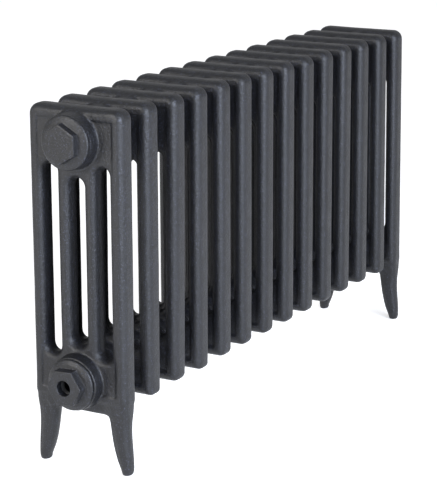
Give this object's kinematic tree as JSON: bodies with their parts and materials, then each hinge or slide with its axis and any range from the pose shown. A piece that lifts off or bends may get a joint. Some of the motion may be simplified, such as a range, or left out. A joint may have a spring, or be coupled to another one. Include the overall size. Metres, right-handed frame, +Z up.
{
  "type": "cast-iron column radiator",
  "caption": "Free-standing column radiator: slotted cast sections joined by threaded nipples, feet on the end sections, a blank plug, bored valve bushes and a bleed screw.",
  "frame": {"origin": "middle of the row of sections, on the floor", "axes": "+X along the row towards the air vent end, +Z up, -Y is the front"},
  "size_m": [0.8782, 0.135, 0.46],
  "materials": {
    "section_paint": "satin anthracite paint over cast texture",
    "fitting_paint": "the same satin paint over machined and cast faces",
    "nipple_iron": "machined malleable iron",
    "gasket_fibre": "matt compressed fibre",
    "vent_brass": "turned brass",
    "screw_brass": "turned brass"
  },
  "bodies": {
    "radiator": {"section_01": "section_paint", "section_02": "section_paint", "section_03": "section_paint", "section_04": "section_paint", "section_05": "section_paint", "section_06": "section_paint", "section_07": "section_paint", "section_08": "section_paint", "section_09": "section_paint", "section_10": "section_paint", "section_11": "section_paint", "section_12": "section_paint", "section_13": "section_paint", "section_14": "section_paint", "top_nipple_01": "nipple_iron", "top_nipple_02": "nipple_iron", "top_nipple_03": "nipple_iron", "top_nipple_04": "nipple_iron", "top_nipple_05": "nipple_iron", "top_nipple_06": "nipple_iron", "top_nipple_07": "nipple_iron", "top_nipple_08": "nipple_iron", "top_nipple_09": "nipple_iron", "top_nipple_10": "nipple_iron", "top_nipple_11": "nipple_iron", "top_nipple_12": "nipple_iron", "top_nipple_13": "nipple_iron", "bottom_nipple_01": "nipple_iron", "bottom_nipple_02": "nipple_iron", "bottom_nipple_03": "nipple_iron", "bottom_nipple_04": "nipple_iron", "bottom_nipple_05": "nipple_iron", "bottom_nipple_06": "nipple_iron", "bottom_nipple_07": "nipple_iron", "bottom_nipple_08": "nipple_iron", "bottom_nipple_09": "nipple_iron", "bottom_nipple_10": "nipple_iron", "bottom_nipple_11": "nipple_iron", "bottom_nipple_12": "nipple_iron", "bottom_nipple_13": "nipple_iron", "blank_plug": "fitting_paint", "blank_plug_gasket": "gasket_fibre", "valve_bush": "fitting_paint", "valve_bush_gasket": "gasket_fibre", "vent_bush": "fitting_paint", "vent_bush_gasket": "gasket_fibre", "return_bush": "fitting_paint", "return_bush_gasket": "gasket_fibre", "air_vent": "vent_brass"},
    "bleed_screw": {"bleed_screw": "screw_brass"}
  },
  "joints": [
    {"name": "bleed_screw_turn", "type": "hinge", "parent": "radiator", "child": "bleed_screw", "pos_m": [0.4369, 0, 0.42], "axis": [1, 0, 0], "range_deg": [0, 270]}
  ]
}
